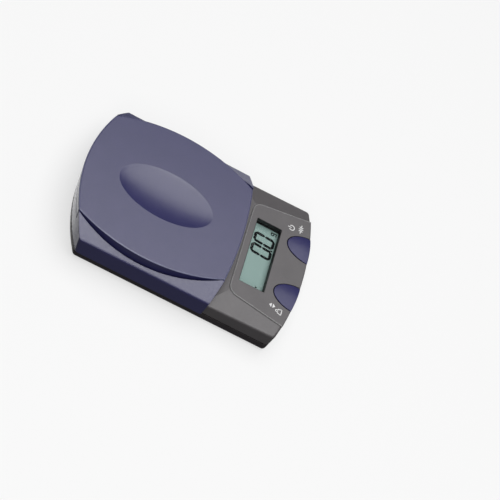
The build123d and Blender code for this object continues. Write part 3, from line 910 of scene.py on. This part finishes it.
@dataclass
class Repeats:
    """Feet and housing screws, each one mesh set on points by a node tree."""

    sides: int = 48
    sharp_degrees: float = 35.0
    foot_radius: float = 4.0
    foot_height: float = 1.4
    foot_rounding: tuple[Spot, Spot, Spot] = ((-0.35, 0.0), (-0.1, 0.1), (0.0, 0.35))
    hollow_depth: float = 0.25
    hollow_floor_radius: float = 2.2
    hollow_rim_radius: float = 2.5
    foot_x: float = 31.5
    foot_ys: Span = (-45.0, 37.0)
    screw_x: float = 33.4
    screw_ys: tuple[float, ...] = (-33.0, -8.0, 25.0)
    head_low: float = 1.2
    head_radius: float = 1.9
    head_height: float = 1.3
    head_chamfer: float = 0.3
    recess_depth: float = 0.75
    recess_floor_radius: float = 0.55
    recess_rim_radius: float = 0.75
    recess_rim_depth: float = 0.12
    shaft_radius: float = 1.0
    shaft_length: float = 8.0
    point_length: float = 0.5
    point_share: float = 0.5

    def foot_profile(self) -> list[Spot]:
        """Goes round half a foot, from the hollow in its sole to its top.

        Returns:
            Radius and height of each point.
        """
        hollow = [(0, self.hollow_depth), (self.hollow_floor_radius, self.hollow_depth),
                  (self.hollow_rim_radius, 0.0)]
        rounding = [(self.foot_radius + out, up) for out, up in self.foot_rounding]
        return hollow + rounding + [(self.foot_radius, self.foot_height), (0, self.foot_height)]

    def screw_profile(self) -> list[Spot]:
        """Goes round half a screw, from the recess in its head to its point.

        Returns:
            Radius and height of each point.
        """
        tip = self.head_height + self.shaft_length
        return [
            (0, self.recess_depth),
            (self.recess_floor_radius, self.recess_depth),
            (self.recess_rim_radius, self.recess_rim_depth),
            (self.head_radius - self.head_chamfer, 0.0),
            (self.head_radius, self.head_chamfer),
            (self.head_radius, self.head_height),
            (self.shaft_radius, self.head_height),
            (self.shaft_radius, tip - self.point_length),
            (self.shaft_radius * self.point_share, tip),
            (0, tip),
        ]

    def turned(self, name: str, profile: list[Spot]) -> Object:
        """Makes a hidden mesh turned about Z from a profile.

        Args:
            name: name of the object.
            profile: radius and height of each point, from the axis to the axis.

        Returns:
            The object.
        """
        form = bmesh.new()
        angles = [2 * math.pi * n / self.sides for n in range(self.sides)]
        rings = []
        for radius, height in profile:
            turns = angles if radius else angles[:1]
            rings.append([
                form.verts.new((radius * MM * math.cos(a), radius * MM * math.sin(a), height * MM))
                for a in turns])
        for low, high in zip(rings, rings[1:]):
            for n, m in in_turn(range(self.sides)):
                corners = [low[n % len(low)], low[m % len(low)],
                           high[m % len(high)], high[n % len(high)]]
                form.faces.new(list(dict.fromkeys(corners)))
        mesh = closed_mesh(name, form)
        mesh.shade_smooth()
        mesh.set_sharp_from_angle(angle=math.radians(self.sharp_degrees))
        return bpy.data.objects.new(name, mesh)

    def tree(self) -> bpy.types.NodeTree:
        """Builds the tree that sets one piece on each point of a mesh.

        Returns:
            The node tree, with inputs Piece, Size and Finish.
        """
        tree = bpy.data.node_groups.new("piece_on_points", "GeometryNodeTree")
        sockets = tree.interface
        sockets.new_socket("Geometry", in_out="INPUT", socket_type="NodeSocketGeometry")
        sockets.new_socket("Piece", in_out="INPUT", socket_type="NodeSocketObject")
        size = sockets.new_socket("Size", in_out="INPUT", socket_type="NodeSocketFloat")
        size.default_value = 1.0
        sockets.new_socket("Finish", in_out="INPUT", socket_type="NodeSocketMaterial")
        sockets.new_socket("Geometry", in_out="OUTPUT", socket_type="NodeSocketGeometry")
        nodes = Nodes(tree)
        start = nodes.add("NodeGroupInput").outputs
        piece = nodes.add("GeometryNodeObjectInfo", {"Object": start["Piece"]})
        points = nodes.add("GeometryNodeInstanceOnPoints", {
            "Points": start["Geometry"],
            "Instance": piece.outputs["Geometry"],
            "Scale": start["Size"],
        })
        real = nodes.add("GeometryNodeRealizeInstances", {"Geometry": points.outputs["Instances"]})
        dressed = nodes.add("GeometryNodeSetMaterial", {
            "Geometry": real.outputs["Geometry"],
            "Material": start["Finish"],
        })
        nodes.add("NodeGroupOutput", {"Geometry": dressed.outputs["Geometry"]})
        return tree

    def scatter(
        self, name: str, piece: Object, spots: list[Place], finish: Material,
        tree: bpy.types.NodeTree
    ) -> Object:
        """Sets a piece on spots and keeps the result as a plain mesh.

        Args:
            name: name of the new piece.
            piece: what is repeated, which is removed at the end.
            spots: where, in millimetres.
            finish: its material.
            tree: node tree of this class.

        Returns:
            The new object.
        """
        seeds = bpy.data.meshes.new(name + "_spots")
        seeds.from_pydata([tuple(c * MM for c in spot) for spot in spots], [], [])
        holder = show(name + "_spots", seeds)
        modifier = holder.modifiers.new("repeat", "NODES")
        modifier.node_group = tree
        sockets = {s.name: s.identifier for s in tree.interface.items_tree if s.in_out == "INPUT"}
        for socket, value in (("Piece", piece), ("Size", 1.0), ("Finish", finish)):
            modifier[sockets[socket]] = value
        mesh = plain_mesh(holder)
        bpy.data.objects.remove(piece)
        return new_piece(name, mesh, finish, Body.HOUSING)

    def build(self, materials: Materials) -> list[Object]:
        """Makes the feet and the housing screws.

        Args:
            materials: the material of each finish.

        Returns:
            The new pieces.
        """
        tree = self.tree()
        foot = self.turned("foot", self.foot_profile())
        spots = [(x, y, 0.0) for x in (-self.foot_x, self.foot_x) for y in self.foot_ys]
        rubber = materials[Finish.FOOT_RUBBER]
        feet = self.scatter("rubber_feet_rings", foot, spots, rubber, tree)
        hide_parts("rubber_feet")
        screw = self.turned("screw", self.screw_profile())
        spots = [(x, y, self.head_low) for x in (-self.screw_x, self.screw_x)
                 for y in self.screw_ys]
        steel = materials[Finish.STEEL]
        screws = self.scatter("housing_screw_set", screw, spots, steel, tree)
        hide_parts("housing_screws")
        return [feet, screws]


@dataclass(frozen=True)
class Lamp:
    """Soft box aimed at the balance, with its place and sides in metres."""

    name: str
    place: Place
    sides: Span
    glow: float

    def hang(self) -> None:
        """Adds the lamp, its power kept in step with the area of its face."""
        data = bpy.data.lights.new(self.name, "AREA")
        data.shape = "RECTANGLE"
        data.size, data.size_y = self.sides
        data.energy = self.glow * math.pi * self.sides[0] * self.sides[1]
        back = Vector(self.place).normalized()
        side = back.cross(Vector((1.0, 0.0, 0.0))).normalized()
        stand(show(self.name, data), self.place, (side.cross(back), side, back))


@dataclass
class Studio:
    """Camera, pale floor, soft lamps and white surroundings, in metres."""

    lens_mm: float = 118.75
    sensor_mm: float = 36.0
    clip_start: float = 0.01
    camera_place: Place = (-0.47967, 0.13277, 0.57406)
    camera_right: Place = (0.22402501, -0.86820991, 0.44274637)
    camera_down: Place = (-0.73907507, -0.44747619, -0.50352071)
    camera_ahead: Place = (0.63528013, -0.21442157, -0.74191816)
    floor_half: float = 3.0
    floor_drop: float = 0.00005
    floor_colour: Colour = (0.82, 0.82, 0.82)
    floor_rough: float = 0.9
    floor_gloss: float = 0.1
    floor_glow_share: float = 0.62
    world_light: float = 0.13
    world_seen: float = 0.95
    lamps: tuple[Lamp, ...] = (
        Lamp("softbox", place=(0.12, -0.08, 1.05), sides=(1.5, 1.1), glow=2.3),
        Lamp("cheek_light", place=(-0.3, -0.1, 1.35), sides=(0.5, 0.6), glow=1.8),
        Lamp("edge_light", place=(-0.85, 0.12, 0.7), sides=(0.35, 0.35), glow=6.0),
        Lamp("back_light", place=(1.2, -0.4, -0.35), sides=(0.6, 0.3), glow=1.2),
        Lamp("under_light", place=(0.6, -0.05, -0.75), sides=(0.9, 0.9), glow=1.5),
    )

    def camera(self) -> None:
        """Sets the camera where the photograph was taken from."""
        data = bpy.data.cameras.new("camera")
        data.lens = self.lens_mm
        data.sensor_width = self.sensor_mm
        data.clip_start = self.clip_start
        shot = show("camera", data)
        up, back = -Vector(self.camera_down), -Vector(self.camera_ahead)
        stand(shot, self.camera_place, (Vector(self.camera_right), up, back))
        bpy.context.scene.camera = shot

    def floor_material(self) -> Material:
        """Makes the floor's finish, pale and shadowed, and clear to all but the camera above it.

        Returns:
            The material.
        """
        graph = Graph("pale_floor")
        graph.paint({
            "Base Color": self.floor_colour,
            "Roughness": self.floor_rough,
            "Specular IOR Level": self.floor_gloss,
        })
        glow = graph.add("ShaderNodeEmission", {"Strength": 1.0})
        pale = graph.add("ShaderNodeMixShader", {
            "Fac": self.floor_glow_share,
            1: graph.shader.outputs["BSDF"],
            2: glow.outputs["Emission"],
        })
        seen = graph.add("ShaderNodeMath", {
            0: graph.add("ShaderNodeLightPath").outputs["Is Camera Ray"],
            1: graph.add("ShaderNodeNewGeometry").outputs["Backfacing"],
        }, operation="SUBTRACT", use_clamp=True)
        clear = graph.add("ShaderNodeMixShader", {
            "Fac": seen.outputs["Value"],
            1: graph.add("ShaderNodeBsdfTransparent").outputs["BSDF"],
            2: pale.outputs["Shader"],
        })
        output = graph.tree.nodes["Material Output"]
        graph.fill(output, {"Surface": clear.outputs["Shader"]})
        return graph.material

    def floor(self) -> None:
        """Lays the pale floor, just under the feet."""
        half, low = self.floor_half, -self.floor_drop
        corners = [(-half, -half, low), (half, -half, low), (half, half, low), (-half, half, low)]
        mesh = bpy.data.meshes.new("floor")
        mesh.from_pydata(corners, [], [(0, 1, 2, 3)])
        mesh.materials.append(self.floor_material())
        floor = show("floor", mesh)

    def world(self) -> None:
        """Fills the surroundings with soft light, white where the camera sees them."""
        world = bpy.data.worlds.new("surroundings")
        bpy.context.scene.world = world
        world.use_nodes = True
        nodes = Nodes(world.node_tree)
        soft = nodes.tree.nodes["Background"]
        nodes.fill(soft, {"Color": WHITE, "Strength": self.world_light})
        white = nodes.add("ShaderNodeBackground", {"Color": WHITE, "Strength": self.world_seen})
        blend = nodes.add("ShaderNodeMixShader", {
            "Fac": nodes.add("ShaderNodeLightPath").outputs["Is Camera Ray"],
            1: soft.outputs["Background"],
            2: white.outputs["Background"],
        })
        nodes.fill(nodes.tree.nodes["World Output"], {"Surface": blend.outputs["Shader"]})

    def build(self) -> None:
        """Makes the whole studio."""
        self.camera()
        self.floor()
        self.world()
        for lamp in self.lamps:
            lamp.hang()
        bpy.context.scene.view_settings.view_transform = "Standard"


def dress(materials: Materials) -> None:
    """Gives each CAD node its finish.

    Args:
        materials: the material of each finish.
    """
    for name, finish in NODE_FINISHES.items():
        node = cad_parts[name]
        if not node.material_slots:
            node.data.materials.append(materials[finish])
        for slot in node.material_slots:
            slot.material = materials[finish]
        LOG.info("%s: %s", name, materials[finish].name)


def main() -> None:
    """Builds the balance and its studio."""
    logging.basicConfig(level=logging.INFO, format="%(name)s: %(message)s")
    materials = {finish: finish.value.make() for finish in Finish}
    dress(materials)
    for assembly in (Display(), PanelHighlightBead(), WindowWallShade(), ButtonMarks(), Repeats()):
        for piece in assembly.build(materials):
            LOG.info("%s: %d faces", piece.name, len(piece.data.polygons))
    Studio().build()


if __name__ == "__main__":
    main()
